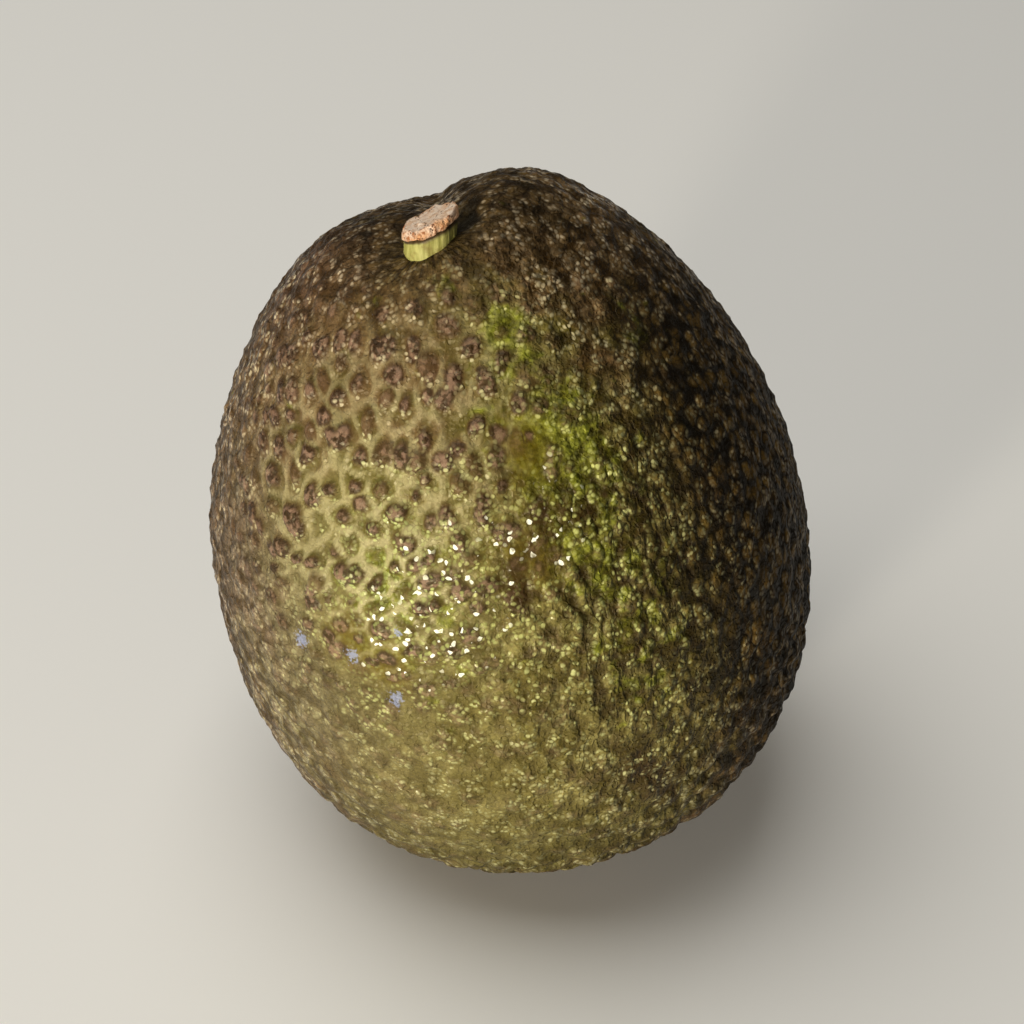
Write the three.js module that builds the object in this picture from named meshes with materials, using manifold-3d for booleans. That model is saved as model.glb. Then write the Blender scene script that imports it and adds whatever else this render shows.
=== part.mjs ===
// A ripening avocado with its cut stem stub, standing on a small flat spot of its blossom end.
// Millimetres, +Z up. The origin is the bottom centre of the bounding box.
// The stem is nearer to the -Y side.
// The fruit is one solid: its skin and flesh grew as one piece. The stem stub is the only other piece.
import * as THREE from "three";
import { ConvexHull } from "three/addons/math/ConvexHull.js";
import { mergeVertices } from "three/addons/utils/BufferGeometryUtils.js";
import Module from "manifold-3d";

// Fruit body: an egg drawn from its width and length
const FRUIT_WIDTH = 65.9;
const FRUIT_LENGTH = 87.6;
const TAPER = 0.14; // narrower towards the stem end
const WAIST = 0.13; // fuller near both ends
const TOP_FULLNESS = -0.215; // below 0 draws the stem end in to a blunt cone
const BASE_FULLNESS = 0.105; // above 0 makes the blossom end rounder
const SHOULDER = 0.8; // how much higher the right shoulder stands than the left
const BASE_SKEW = -1.23; // the same at the blossom end
const LEAN_DEG = 8.6; // the long axis leans to the left
const REST_CUT = 1.2; // how much of the round blossom end the flat rest spot takes off

// Stem cavity and the groove that runs back from it between the two shoulders,
// in shares of the fruit's half width
const STEM_X = -0.049;
const STEM_Y = -0.21;
const CAVITY_DEPTH = 2.1;
const CAVITY_REACH = 0.22;
const CAVITY_RISE_X = 8; // the cavity floor climbs to the right, in mm for each half width
const CAVITY_RISE_Y = -14; // and towards the front, where a low lip stands before the stem
const GROOVE_DEPTH = 5.6;
const GROOVE_WIDTH = 0.33;
const GROOVE_AZIMUTH_DEG = 96.5;
const GROOVE_CENTRE = 0.5;
const GROOVE_REACH = 0.35;
const CREASE_DEPTH = 1.5; // the narrow fold along the groove's floor
const CREASE_WIDTH = 0.07;
const CREASE_OFFSET = 0.04;
const CREASE_CENTRE = 0.6;
const CREASE_REACH = 0.3;

// Pebbled skin
const PEBBLES = 1900;
const PEBBLE_HEIGHT = 0.55;
const VALLEY_DEPTH = 0.36;
const PEBBLE_JITTER = 0.34; // in shares of the pebble spacing
const SMOOTH_REACH = 0.34; // pebbles fade out within this share of the half width round the stem

// Stem stub
const STEM_RADIUS = 2.75;
const STEM_HEIGHT = 3.7; // from the cavity floor to the middle of the cut end
const STEM_ROOT = 1.1; // how deep its foot sits in the socket
const SOCKET_RISE = 2.4; // how far above the foot the socket clears the sloping skin
const STEM_LEAN_DEG = -2; // below 0 leans to the right
const CUT_SLOPE_X = 0.5; // the cut end climbs to the right
const CUT_SLOPE_Y = -0.3; // and towards the front
const CORK_THICKNESS = 1.8; // the dried, corky layer at the cut end
const CORK_OVERHANG = 0.08;
const STEM_SIDES = 30;
const GAP = 0.3;

const SKIN_COLOUR = 0x5d5230;
const STEM_COLOUR = 0xc0b070;

const halfWidth = FRUIT_WIDTH / 2;
const halfLength = FRUIT_LENGTH / 2;
const lean = THREE.MathUtils.degToRad(LEAN_DEG);
const grooveAzimuth = THREE.MathUtils.degToRad(GROOVE_AZIMUTH_DEG);

// A repeatable number from 0 to 1 for item i
function draw(i, salt) {
  const s = Math.sin(i * 12.9898 + salt * 78.233) * 43758.5453;
  return s - Math.floor(s);
}

function bell(distance, reach) {
  return Math.exp(-((distance / reach) ** 2));
}

// The smooth body's point in a direction of the unit sphere, standing with its lean
function bodyPoint(d) {
  const up = Math.max(d.z, 0);
  const down = Math.max(-d.z, 0);
  const fullness = d.z > 0 ? TOP_FULLNESS : BASE_FULLNESS;
  const ring = 1 - d.z * d.z;
  const width = halfWidth * (1 - TAPER * d.z + WAIST * ring * d.z * d.z);
  const fromStemX = d.x - STEM_X;
  const fromStemY = d.y - STEM_Y;
  const along = fromStemX * Math.cos(grooveAzimuth) + fromStemY * Math.sin(grooveAzimuth);
  const across = fromStemX * Math.sin(grooveAzimuth) - fromStemY * Math.cos(grooveAzimuth);
  const cavityRise = CAVITY_RISE_X * fromStemX + CAVITY_RISE_Y * fromStemY;
  const cavity = (CAVITY_DEPTH - cavityRise) * bell(Math.hypot(fromStemX, fromStemY), CAVITY_REACH);
  const groove = GROOVE_DEPTH * bell(across, GROOVE_WIDTH) * bell(along - GROOVE_CENTRE, GROOVE_REACH);
  const creaseAcross = bell(across - CREASE_OFFSET, CREASE_WIDTH);
  const crease = CREASE_DEPTH * creaseAcross * bell(along - CREASE_CENTRE, CREASE_REACH);
  const skew = SHOULDER * d.x * up * up + BASE_SKEW * d.x * down * down;
  const height = halfLength * (d.z + fullness * d.z * ring) - up * (cavity + groove + crease) + skew;
  const upright = new THREE.Vector3(d.x * width, d.y * width, height);
  return upright.applyAxisAngle(new THREE.Vector3(0, 1, 0), -lean);
}

// The outward direction of a plain egg there, which the pebbles rise along
function outward(d) {
  const n = new THREE.Vector3(d.x / halfWidth, d.y / halfWidth, d.z / halfLength).normalize();
  return n.applyAxisAngle(new THREE.Vector3(0, 1, 0), -lean);
}

// The share of an egg's surface that lies below height z, from -1 to 1, not yet divided by the whole
function areaBelow(z) {
  const k = Math.sqrt(halfLength ** 2 - halfWidth ** 2);
  const s = (k * z) / halfLength;
  return z * Math.sqrt(1 - s * s) + (halfLength / k) * Math.asin(s);
}

// Directions of the pebbles: a spiral with equal surface for each, shaken so that no rows show
function pebbleDirections() {
  const whole = areaBelow(1);
  const goldenAngle = Math.PI * (3 - Math.sqrt(5));
  const spacing = Math.sqrt((4 * Math.PI) / PEBBLES);
  const directions = [];
  for (let i = 0; i < PEBBLES; i++) {
    const wanted = whole * (1 - (2 * (i + 0.5)) / PEBBLES);
    let low = -1;
    let high = 1;
    for (let step = 0; step < 40; step++) {
      const middle = (low + high) / 2;
      if (areaBelow(middle) < wanted) low = middle;
      else high = middle;
    }
    const ring = Math.sqrt(1 - low * low);
    const turn = goldenAngle * i;
    const shaken = new THREE.Vector3(ring * Math.cos(turn), ring * Math.sin(turn), low);
    shaken.x += PEBBLE_JITTER * spacing * (2 * draw(i, 1) - 1);
    shaken.y += PEBBLE_JITTER * spacing * (2 * draw(i, 2) - 1);
    shaken.z += PEBBLE_JITTER * spacing * (2 * draw(i, 3) - 1);
    directions.push(shaken.normalize());
  }
  return directions;
}

// How strongly the pebbles show at a direction: smooth in the stem cavity, full elsewhere
function pebbleStrength(d) {
  if (d.z < 0) return 1;
  const distance = Math.hypot(d.x - STEM_X, d.y - STEM_Y);
  return THREE.MathUtils.smoothstep(distance, 0.4 * SMOOTH_REACH, 1.4 * SMOOTH_REACH);
}

// One closed mesh: each pebble is a low peak in its cell, and the cells' corners are the valleys
function fruitGeometry() {
  const directions = pebbleDirections();
  const points = [];
  const raise = (d, height) => {
    points.push(bodyPoint(d).addScaledVector(outward(d), height));
    return points.length - 1;
  };
  const peaks = directions.map((d, i) =>
    raise(d, pebbleStrength(d) * ((0.7 + 0.6 * draw(i, 4)) * PEBBLE_HEIGHT - VALLEY_DEPTH)),
  );
  const peakOf = new Map(directions.map((d, i) => [d, peaks[i]]));
  const hull = new ConvexHull().setFromPoints(directions);
  const valleyOf = new Map();
  for (const face of hull.faces) {
    const middle = new THREE.Vector3();
    for (let side = 0; side < 3; side++) middle.add(face.getEdge(side).head().point);
    middle.normalize();
    valleyOf.set(face, raise(middle, -VALLEY_DEPTH * pebbleStrength(middle)));
  }
  const triangles = [];
  for (const face of hull.faces) {
    for (let side = 0; side < 3; side++) {
      const edge = face.getEdge(side);
      triangles.push(peakOf.get(edge.tail().point), valleyOf.get(edge.twin.face), valleyOf.get(face));
    }
  }
  return { points, triangles };
}

// Moves the fruit so that its box is centred on the origin and its flat rest spot lies at z = 0
function placeOnRest(points) {
  const box = new THREE.Box3().setFromPoints(points);
  const centre = box.getCenter(new THREE.Vector3());
  const shift = new THREE.Vector3(-centre.x, -centre.y, -box.min.z - REST_CUT);
  for (const p of points) {
    p.add(shift);
    p.z = Math.max(p.z, 0);
  }
  return shift;
}

function geometryOf(points, triangles) {
  const geometry = new THREE.BufferGeometry().setFromPoints(points);
  geometry.setIndex(triangles);
  return geometry;
}

const wasm = await Module();
wasm.setup();

function solidOf(geometry) {
  const plain = geometry.clone();
  plain.deleteAttribute("normal");
  plain.deleteAttribute("uv");
  const merged = mergeVertices(plain, 1e-4);
  const mesh = new wasm.Mesh({
    numProp: 3,
    vertProperties: new Float32Array(merged.attributes.position.array),
    triVerts: new Uint32Array(merged.index.array),
  });
  return new wasm.Manifold(mesh);
}

function geometryFrom(solid) {
  const mesh = solid.getMesh();
  const geometry = new THREE.BufferGeometry();
  geometry.setAttribute("position", new THREE.BufferAttribute(mesh.vertProperties, 3));
  geometry.setIndex(new THREE.BufferAttribute(mesh.triVerts, 1));
  return geometry;
}

// The stub: a slightly fluted stalk, a shrinkage crack, and the wider corky layer of the cut end over it
function stemGeometry() {
  const stalkTop = STEM_HEIGHT - CORK_THICKNESS;
  // Each ring: radius, height, how far the ring follows the slope of the cut, and how uneven its rim is
  const rings = [
    [STEM_RADIUS * 0.97, -STEM_ROOT + GAP, 0, 0.02],
    [STEM_RADIUS * 1.03, 0, 0.15, 0.03],
    [STEM_RADIUS, stalkTop * 0.5, 0.55, 0.04],
    [STEM_RADIUS * 0.99, stalkTop - 0.1, 1, 0.04],
    [STEM_RADIUS * 0.88, stalkTop + 0.05, 1, 0.04],
    [STEM_RADIUS + CORK_OVERHANG * 0.8, stalkTop + 0.2, 1, 0.06],
    [STEM_RADIUS + CORK_OVERHANG, stalkTop + 0.6, 1, 0.07],
    [STEM_RADIUS * 0.97, STEM_HEIGHT - 0.08, 1, 0.06],
    [STEM_RADIUS * 0.62, STEM_HEIGHT + 0.08, 1, 0.05],
    [STEM_RADIUS * 0.28, STEM_HEIGHT - 0.04, 1, 0.04],
  ];
  const points = [new THREE.Vector3(0, 0, rings[0][1])];
  rings.forEach(([radius, height, follow, uneven], level) => {
    for (let side = 0; side < STEM_SIDES; side++) {
      const turn = (2 * Math.PI * side) / STEM_SIDES;
      const wave = Math.sin(3 * turn + 0.6) + 0.7 * Math.sin(7 * turn + 2.1) + draw(side, 20 + level) - 0.5;
      const r = radius * (1 + uneven * 0.5 * wave);
      const x = r * Math.cos(turn);
      const y = r * Math.sin(turn);
      const roughness = level > 6 ? 0.12 * (draw(side, 40 + level) - 0.5) : 0;
      const climb = follow * (CUT_SLOPE_X * x + CUT_SLOPE_Y * y);
      points.push(new THREE.Vector3(x, y, height + climb + roughness));
    }
  });
  points.push(new THREE.Vector3(0, 0, STEM_HEIGHT + 0.06));
  const triangles = [];
  const at = (level, side) => 1 + level * STEM_SIDES + (side % STEM_SIDES);
  const last = points.length - 1;
  for (let side = 0; side < STEM_SIDES; side++) {
    triangles.push(0, at(0, side + 1), at(0, side));
    for (let level = 0; level + 1 < rings.length; level++) {
      triangles.push(at(level, side), at(level, side + 1), at(level + 1, side + 1));
      triangles.push(at(level, side), at(level + 1, side + 1), at(level + 1, side));
    }
    triangles.push(last, at(rings.length - 1, side), at(rings.length - 1, side + 1));
  }
  return geometryOf(points, triangles);
}

const avocado = new THREE.Group();

const { points, triangles } = fruitGeometry();
const shift = placeOnRest(points);

const stemDirection = new THREE.Vector3(STEM_X, STEM_Y, Math.sqrt(1 - STEM_X ** 2 - STEM_Y ** 2));
const stemGroup = new THREE.Group();
stemGroup.position.copy(bodyPoint(stemDirection).add(shift));
stemGroup.rotation.y = -THREE.MathUtils.degToRad(STEM_LEAN_DEG);
stemGroup.updateMatrixWorld(true);

// The socket that the stub's foot sits in
const socketRadius = STEM_RADIUS * 1.06 + GAP;
const socket = new THREE.CylinderGeometry(socketRadius, socketRadius, STEM_ROOT + SOCKET_RISE, STEM_SIDES);
socket.rotateX(Math.PI / 2);
socket.translate(0, 0, (SOCKET_RISE - STEM_ROOT) / 2);
socket.applyMatrix4(stemGroup.matrixWorld);

const fruit = new THREE.Mesh(
  geometryFrom(solidOf(geometryOf(points, triangles)).subtract(solidOf(socket))),
  new THREE.MeshStandardMaterial({ color: SKIN_COLOUR, roughness: 0.45, metalness: 0 }),
);
fruit.name = "fruit";
avocado.add(fruit);

const stem = new THREE.Mesh(
  stemGeometry(),
  new THREE.MeshStandardMaterial({ color: STEM_COLOUR, roughness: 0.8, metalness: 0 }),
);
stem.name = "stem_stub";
stemGroup.add(stem);
avocado.add(stemGroup);

export default avocado;
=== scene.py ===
# A ripening avocado with its cut stem stub: fine skin, stalk, corky cut end, floor, lights and camera.
# The shape repeats the solid's own formula in millimetres, and becomes metres where the meshes are made.
import math
from types import SimpleNamespace

import bpy
import numpy as np
from mathutils import Matrix, Vector, kdtree, noise


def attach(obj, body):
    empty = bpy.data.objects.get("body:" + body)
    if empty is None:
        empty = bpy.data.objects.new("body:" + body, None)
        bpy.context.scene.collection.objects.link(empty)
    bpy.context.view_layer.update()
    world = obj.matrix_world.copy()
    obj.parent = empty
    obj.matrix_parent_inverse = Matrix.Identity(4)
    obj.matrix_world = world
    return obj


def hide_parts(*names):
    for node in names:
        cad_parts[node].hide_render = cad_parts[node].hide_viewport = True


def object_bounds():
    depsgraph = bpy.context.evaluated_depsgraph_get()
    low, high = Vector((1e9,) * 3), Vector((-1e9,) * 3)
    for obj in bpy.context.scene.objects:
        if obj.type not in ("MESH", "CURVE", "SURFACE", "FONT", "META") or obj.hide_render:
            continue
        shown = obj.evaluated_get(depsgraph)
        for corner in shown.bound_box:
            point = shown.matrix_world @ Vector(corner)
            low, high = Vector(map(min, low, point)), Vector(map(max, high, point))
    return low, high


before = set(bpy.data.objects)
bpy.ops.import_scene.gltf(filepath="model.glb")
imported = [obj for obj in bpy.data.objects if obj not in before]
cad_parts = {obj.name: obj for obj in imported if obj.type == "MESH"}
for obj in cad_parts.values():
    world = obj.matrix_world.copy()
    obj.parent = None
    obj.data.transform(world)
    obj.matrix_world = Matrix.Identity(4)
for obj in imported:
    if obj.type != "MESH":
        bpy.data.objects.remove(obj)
cad_low, cad_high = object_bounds()

MM = 0.001

# Fruit body, with the solid's own values
FRUIT_WIDTH = 65.9
FRUIT_LENGTH = 87.6
TAPER = 0.14
WAIST = 0.13
TOP_FULLNESS = -0.215
BASE_FULLNESS = 0.105
SHOULDER = 0.8
BASE_SKEW = -1.23
LEAN = math.radians(8.6)
REST_CUT = 1.2
STEM_X = -0.049
STEM_Y = -0.21
CAVITY_DEPTH = 2.1
CAVITY_REACH = 0.22
CAVITY_RISE_X = 8
CAVITY_RISE_Y = -14
GROOVE_DEPTH = 5.6
GROOVE_WIDTH = 0.33
GROOVE_AZIMUTH = math.radians(96.5)
GROOVE_CENTRE = 0.5
GROOVE_REACH = 0.35
CREASE_DEPTH = 1.5
CREASE_WIDTH = 0.07
CREASE_OFFSET = 0.04
CREASE_CENTRE = 0.6
CREASE_REACH = 0.3
PEBBLES = 1900
PEBBLE_HEIGHT = 0.55
VALLEY_DEPTH = 0.36
PEBBLE_JITTER = 0.34
SMOOTH_REACH = 0.34
STEM_RADIUS = 2.75
STEM_HEIGHT = 3.7
STEM_LEAN = math.radians(-2)
CUT_SLOPE_X = 0.5
CUT_SLOPE_Y = -0.3
CORK_THICKNESS = 1.8

HALF_WIDTH = FRUIT_WIDTH / 2
HALF_LENGTH = FRUIT_LENGTH / 2

# Fine skin's mesh, in millimetres unless it says otherwise
GRID = 126  # squares along each edge of the six-sided grid, 190,512 triangles in all
SKIN_LEVEL = 0.1  # the skin's mean level above the smooth body
WART_HEIGHT = 0.66  # separate warts in hollow cells, on the front above the middle
WART_RIM = 0.95  # from a wart's middle to the ring of skin round it
HOLLOW_DEPTH = 0.25
RIDGE_HEIGHT = 0.36  # the raised net between the cells
RIDGE_WIDTH = 0.75
BROAD_HEIGHT = 0.26  # broad low pebbles elsewhere
LOW_EXTRA = 0.5  # how much taller they are near the blossom end
FINE_PEBBLES = 7600
FINE_HEIGHT = 0.2
FINE_JITTER = 0.5  # as a share of the space between them
BEND_SIZE = 1.9
BEND_REACH = 0.5  # how far noise bends the pebbles' outlines
FINE_BEND_REACH = 0.35
DRIFT_SIZE = 6
DRIFT_REACH = 1.1  # how far it shifts whole pebbles out of the even pattern
WANDER_SIZE = 14  # how large the waves in the edges of the coloured regions are
LUMP_HEIGHT = 0.16
WRINKLE_DEPTH = 0.26
WRINKLES_ROUND = 54  # wrinkles in a whole turn, where they are present
RAYS_FROM = 0.1  # rays round the stem fade out from here, in shares of the half width
RAYS_TO = 0.26
SCAR_RADIUS = 2.2  # the flower's scar in the middle of the blossom end
SCAR_DEPTH = 0.3
# The hollow beside the stem is real relief; its near-black colour is painted shadow
PIT_DEPTH = 0.9  # a dark hollow beside the stem
BOX_MARGIN = 0.02  # the fine skin keeps this far inside the solid's box
# A wart's lower side faces toward the key light: paler colour there is painted light, and darker colour on
# its upper side is painted shade
TO_LOWER_SIDE = np.array([-0.3, -0.2, -0.93])  # the way that a wart's pale side faces

# Soft patches of the skin: share, azimuth in degrees (-90 is the front), height, reach in degrees, and
# how many times taller than wide where that isn't 1
WARTY_PATCHES = [(1, -112, 0.5, 27), (0.5, -140, 0.65, 22), (0.6, -84, 0.78, 15)]
PATCHES = {
    "green": [
        (0.8, -110, 0.36, 23),
        (0.7, -64, 0.1, 27),
        (0.65, -100, -0.35, 45),
        (0.6, -60, 0.55, 16, 1.8),
        (0.5, -70, 0.84, 8),
    ],
    "leaf": [
        (1, -70, 0.84, 5.5, 1.3),
        (1, -64, 0.64, 8, 1.5),
        (0.9, -70, 0.47, 8, 1.3),
        (0.65, -62, 0.18, 10, 2),
        (0.7, -77, 0.64, 6),
        (0.6, -106, 0.3, 15),
        (0.7, -90, 0.92, 3),
        (0.5, -118, 0.92, 3.5),
        (0.5, -28, 0.75, 6),
    ],
    "purple": [(1, 178, 0.84, 17), (0.55, -163, 0.2, 26)],
    "haze": [(1, -138, -0.1, 24), (0.6, -152, 0.35, 20)],
    "bold": WARTY_PATCHES,
    # The pale patch lies near the key light's reflection; the paler ridges and beads there are partly
    # painted sheen
    "pale": [(1, -112, 0.36, 19)],
    "even": WARTY_PATCHES + [(0.8, -100, -0.42, 36)],
    "wrinkled": [(1, -62, 0.3, 26, 1.7)],
    "smooth": [
        (1.25, -119, 0.19, 5),
        (1.25, -110, 0.13, 4.5),
        (1.25, -80, 0.42, 5.5),
        (1.25, -76, 0.65, 5),
    ],
    "bloom": [
        (1, -118, 0.14, 1.8),
        (1, -130, 0.13, 2),
        (1, -108, 0.24, 1.2),
        (1, -110, 0.01, 1.8),
    ],
    "bruise": [
        (1, -76, 0.52, 5.5),
        (0.9, -83, 0.35, 5),
        (0.9, -66, 0.48, 4.5),
        (0.8, -68, -0.28, 7),
        (0.7, -62, -0.41, 6),
    ],
    "pit": [(1.4, -60, 0.986, 3.6)],
    "glints": [(1, -106, 0.25, 18), (0.78, -74, 0.48, 22)],
}
REGION_MASKS = (*PATCHES, "dark", "base")
RELIEF_MASKS = ("wart", "wart_draw", "net", "wrinkle", "lit_lower_side", "shaded_upper_side", "near_stem", "scar")

# Patterns that the shader draws on the fine skin, in millimetres
BLOTCH_SIZE = 4
CLUSTER_SIZE = 3
SPOT_SIZE = 2.4
LUMP_SPACING = 1.5
UPRIGHT_LUMP_SPACING = 1.25
LUMP_RELIEF = 0.42
EVEN_LUMP_RELIEF = 0.24  # on warty and even skin
STRAND_SIZE = 1.2
GAP_RELIEF = -0.2
SPECK_SIZE = 0.8
SPECK_RELIEF = 0.2
RAY_SIZE = 0.6
RAY_RELIEF = 0.26
BEAD_SPACING = 0.52
BEAD_RELIEF = 0.03
CLUSTER_BEAD_RELIEF = 0.06  # how much taller beads in clusters are
DUST_SIZE = 0.35
DUST_RELIEF = 0.06

# Colours, each as 0 to 255 on a screen, or two where a pattern runs from one to the other
BROWN_SKIN = (112, 88, 56), (86, 66, 38)
OLIVE_SKIN = (128, 118, 66), (102, 92, 42)
LEAF_SKIN = (92, 96, 18), (142, 146, 46)
LEAF_SPOTS = (52, 38, 12)
PURPLE_SKIN = (102, 72, 60)
HAZE_SKIN = (140, 128, 108)
SMOOTH_SKIN = (106, 90, 12)
# The hollows' colour also serves as painted shade on the warts' upper sides
HOLLOWS_AND_SHADE = (62, 56, 12)
# The ridges' pale colour is partly painted sheen
RIDGES_AND_SHEEN = (172, 162, 118)
WARTS = (58, 38, 27), (134, 106, 88)
WART_HALO = (88, 64, 38)
WART_SPECKS = (46, 28, 19)
# The dark side's valleys and lump tops: partly the skin's own colour, partly painted shade
SHADED_DARK_VALLEYS = (20, 10, 0)
DARK_TOPS = (46, 28, 4), (98, 74, 28)
# The rays round the stem are partly painted shade of the hollow there
STEM_RAYS_AND_SHADE = (40, 28, 10), (104, 85, 46)
GAPS = (42, 28, 8)
BRUISES = (54, 34, 10)
BEADS = (204, 186, 154), (198, 200, 136)
# Brighter bead tints in the glints and pale patches, near the key light's reflection, are partly painted
# highlight
BRIGHT_BEADS = (206, 208, 116)
PALE_BEADS = (186, 208, 126)
# Glints painted into the colour as white beads: painted highlights
GLINTS = (254, 252, 228)
BLOOM = (150, 160, 192)
# Painted shadow in the pit beside the stem
PIT_SHADOW = (10, 6, 1)
SCAR = (70, 52, 34)
STALK = (144, 140, 66), (182, 178, 104)
STALK_BLOTCHES = (128, 112, 50)
# Painted shade on the stalk's rim under the cork
STALK_RIM_SHADE = (60, 36, 12)
CORK = (222, 192, 166), (212, 158, 112)
CORK_GRAIN = (160, 100, 56)
# The cut face: its own paler colour, partly painted light
LIT_CORK_FACE = (255, 232, 208), (236, 196, 160)
CORK_PORES = (118, 66, 34)
FLOOR = (246, 245, 242)

# Factors that darken or brighten a colour: red, green and blue
DULL_LUMP = (0.74, 0.72, 0.6, 1)
BRIGHT_LUMP = (1.2, 1.2, 1.24, 1)
# Painted shade in the valleys between lumps, and painted light on their tops
PAINTED_VALLEY_SHADE = (0.42, 0.34, 0.15, 1)
PAINTED_TOP_LIGHT = (1.1, 1.1, 1.08, 1)

# Stalk and cork
STEM_SIDES = 128
SOCKET_DEPTH = 0.7  # how far the stalk goes on below the skin
STALK_UNEVENNESS = 0.09
CORK_UNEVENNESS = 0.27
CORK_FACE_RINGS = 13

# Floor and lights, in millimetres, watts and shares of white
FLOOR_REACH = 3000
KEY_FROM_FRUIT = (-255, -475, 20)
KEY_SIZE = 55
KEY_WATTS = 3.0
KEY_COLOUR = (1.0, 0.92, 0.78)
OVERHEAD_PLACE = (-260, 60, 880)
OVERHEAD_SIZE = 900
OVERHEAD_WATTS = 6.0
OVERHEAD_COLOUR = (1, 0.98, 0.92)
SKY_COLOUR = (1, 0.98, 0.94, 1)
SKY_STRENGTH = 0.06

# Camera, from the fit of the fruit's outline to the photograph's 1024 px frame
FRAME_PX = 1024
CAMERA_ELEVATION = math.radians(40)
CAMERA_DISTANCE = 330
PX_PER_MM = 8.9
FRUIT_CENTRE_LEFT_PX = 10.2
FRUIT_CENTRE_UP_PX = 13.6
SENSOR_WIDTH = 36


# The solid's own formula


def draw(i, salt):
    """A repeatable number from 0 to 1 for each item i."""
    s = np.sin(i * 12.9898 + salt * 78.233) * 43758.5453
    return s - np.floor(s)


def smoothstep(x, low, high):
    t = np.clip((x - low) / (high - low), 0, 1)
    return t * t * (3 - 2 * t)


def bell(distance, reach):
    return np.exp(-((distance / reach) ** 2))


def leaned(points):
    """Points turned by the fruit's lean, about the Y axis."""
    x, y, z = points.T
    c, s = math.cos(LEAN), math.sin(LEAN)
    return np.stack([x * c - z * s, y, x * s + z * c], axis=1)


def stem_end_hollows(dx, dy):
    """How deep the cavity round the stem, the groove behind it and the groove's crease are there."""
    from_x, from_y = dx - STEM_X, dy - STEM_Y
    along = from_x * math.cos(GROOVE_AZIMUTH) + from_y * math.sin(GROOVE_AZIMUTH)
    across = from_x * math.sin(GROOVE_AZIMUTH) - from_y * math.cos(GROOVE_AZIMUTH)
    rise = CAVITY_RISE_X * from_x + CAVITY_RISE_Y * from_y
    cavity = (CAVITY_DEPTH - rise) * bell(np.hypot(from_x, from_y), CAVITY_REACH)
    groove = GROOVE_DEPTH * bell(across, GROOVE_WIDTH) * bell(along - GROOVE_CENTRE, GROOVE_REACH)
    crease = CREASE_DEPTH * bell(across - CREASE_OFFSET, CREASE_WIDTH)
    return cavity + groove + crease * bell(along - CREASE_CENTRE, CREASE_REACH)


def body_points(d):
    """The smooth body's points in directions d of the unit sphere, in millimetres."""
    dx, dy, dz = d.T
    up = np.maximum(dz, 0)
    down = np.maximum(-dz, 0)
    fullness = np.where(dz > 0, TOP_FULLNESS, BASE_FULLNESS)
    ring = 1 - dz * dz
    width = HALF_WIDTH * (1 - TAPER * dz + WAIST * ring * dz * dz)
    skew = SHOULDER * dx * up * up + BASE_SKEW * dx * down * down
    height = HALF_LENGTH * (dz + fullness * dz * ring) - up * stem_end_hollows(dx, dy) + skew
    return leaned(np.stack([dx * width, dy * width, height], axis=1))


def outward(d):
    """The outward directions of a plain egg there, which the relief rises along."""
    n = d / np.array([HALF_WIDTH, HALF_WIDTH, HALF_LENGTH])
    return leaned(n / np.linalg.norm(n, axis=1, keepdims=True))


def area_below(z):
    """The plain egg's surface from its middle to height z of the unit sphere, but for a constant factor."""
    k = math.sqrt(HALF_LENGTH**2 - HALF_WIDTH**2)
    s = k * z / HALF_LENGTH
    return z * np.sqrt(1 - s * s) + HALF_LENGTH / k * np.arcsin(s)


def spiral_directions(count, jitter, first_salt):
    """Directions on a spiral with equal egg surface for each, shaken so that no rows show."""
    i = np.arange(count)
    wanted = area_below(1.0) * (1 - 2 * (i + 0.5) / count)
    low, high = np.full(count, -1.0), np.full(count, 1.0)
    for _ in range(40):
        middle = (low + high) / 2
        below = area_below(middle) < wanted
        low = np.where(below, middle, low)
        high = np.where(below, high, middle)
    ring = np.sqrt(1 - low * low)
    turn = math.pi * (3 - math.sqrt(5)) * i
    d = np.stack([ring * np.cos(turn), ring * np.sin(turn), low], axis=1)
    shake = np.stack([2 * draw(i, first_salt + axis) - 1 for axis in range(3)], axis=1)
    d = d + jitter * math.sqrt(4 * math.pi / count) * shake
    return d / np.linalg.norm(d, axis=1, keepdims=True)


def stem_distance(d):
    """How far directions d are from the stem, in shares of the half width, and large below the middle."""
    away = np.hypot(d[:, 0] - STEM_X, d[:, 1] - STEM_Y)
    return np.where(d[:, 2] > 0, away, 2)


def pebble_strength(d):
    """1 where the pebbles are full size, and less round the stem."""
    return smoothstep(stem_distance(d), 0.4 * SMOOTH_REACH, 1.4 * SMOOTH_REACH)


def pebble_peaks(d):
    """The solid's own pebble heights above the smooth body."""
    i = np.arange(len(d))
    return pebble_strength(d) * ((0.7 + 0.6 * draw(i, 4)) * PEBBLE_HEIGHT - VALLEY_DEPTH)


def place_shift(d, peaks):
    """How far the solid was moved so that its box stands centred on the origin, on its rest spot."""
    tips = body_points(d) + outward(d) * peaks[:, None]
    low, high = tips.min(axis=0), tips.max(axis=0)
    return np.array([-(low[0] + high[0]) / 2, -(low[1] + high[1]) / 2, -low[2] - REST_CUT])


# The fine skin's mesh


def egg_space(d):
    """Directions as places on a plain egg, where distances are close to real millimetres."""
    return d * np.array([HALF_WIDTH, HALF_WIDTH, HALF_LENGTH])


def nearest_two(centres, places):
    """For each place, the nearest centre's number and the distances to the nearest two."""
    tree = kdtree.KDTree(len(centres))
    for number, centre in enumerate(centres):
        tree.insert(centre, number)
    tree.balance()
    found = [tree.find_n(place, 2) for place in places]
    number = np.array([f[0][1] for f in found])
    first = np.array([f[0][2] for f in found])
    second = np.array([f[1][2] for f in found])
    return number, first, second


def noise_at(places, size, seed):
    """Smooth noise from about -1 to 1, with features of the given size in millimetres."""
    offset = Vector((seed * 17.3, seed * 5.1, seed * 9.7))
    return np.array([noise.noise(Vector(p) / size + offset) for p in places])


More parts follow.
